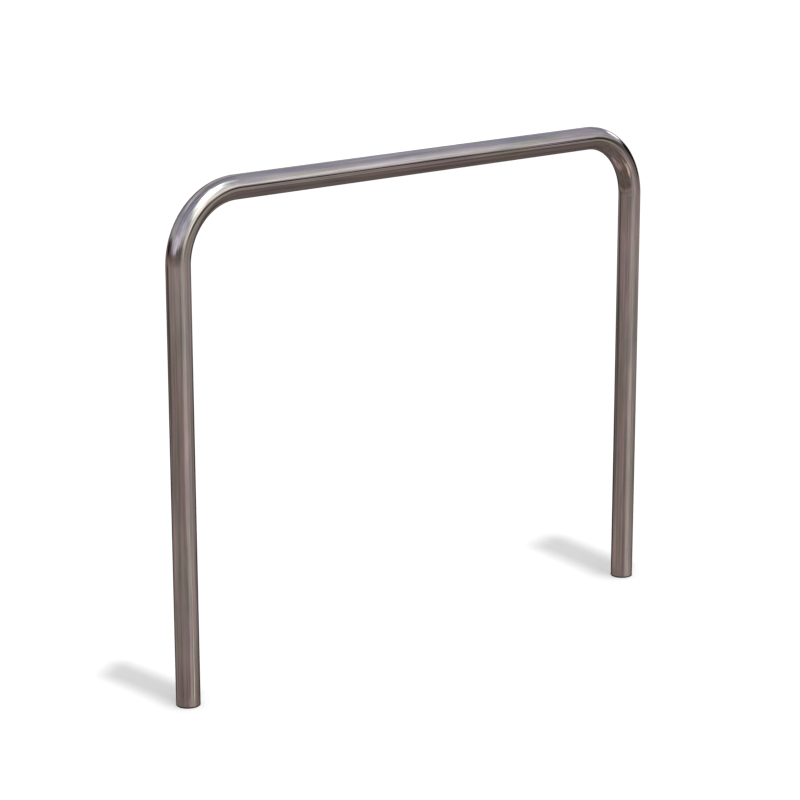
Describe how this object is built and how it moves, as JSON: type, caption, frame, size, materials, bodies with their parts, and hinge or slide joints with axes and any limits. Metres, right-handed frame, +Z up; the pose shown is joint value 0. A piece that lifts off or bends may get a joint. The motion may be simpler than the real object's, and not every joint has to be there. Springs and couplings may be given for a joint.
{
  "type": "hoop bike rack",
  "caption": "Upside-down U of round stainless tube with tight smooth bends and plain plugged feet, for a bicycle to lean on and be locked to.",
  "frame": {"origin": "on the ground, midway between the two legs", "axes": "+X along the hoop from one leg to the other, +Y across it, +Z up"},
  "size_m": [1.1174, 0.0424, 0.91],
  "materials": {
    "stainless_tube": "bright satin, polished lengthwise",
    "ground_weld": "ground flush and blended into the satin tube",
    "black_polyethylene": "moulded, fine matte"
  },
  "bodies": {
    "root": {"top_rail": "stainless_tube", "left_bend": "stainless_tube", "right_bend": "stainless_tube", "left_leg": "stainless_tube", "right_leg": "stainless_tube", "left_leg_weld": "ground_weld", "left_rail_weld": "ground_weld", "right_leg_weld": "ground_weld", "right_rail_weld": "ground_weld", "left_end_plug": "black_polyethylene", "right_end_plug": "black_polyethylene"}
  },
  "joints": []
}
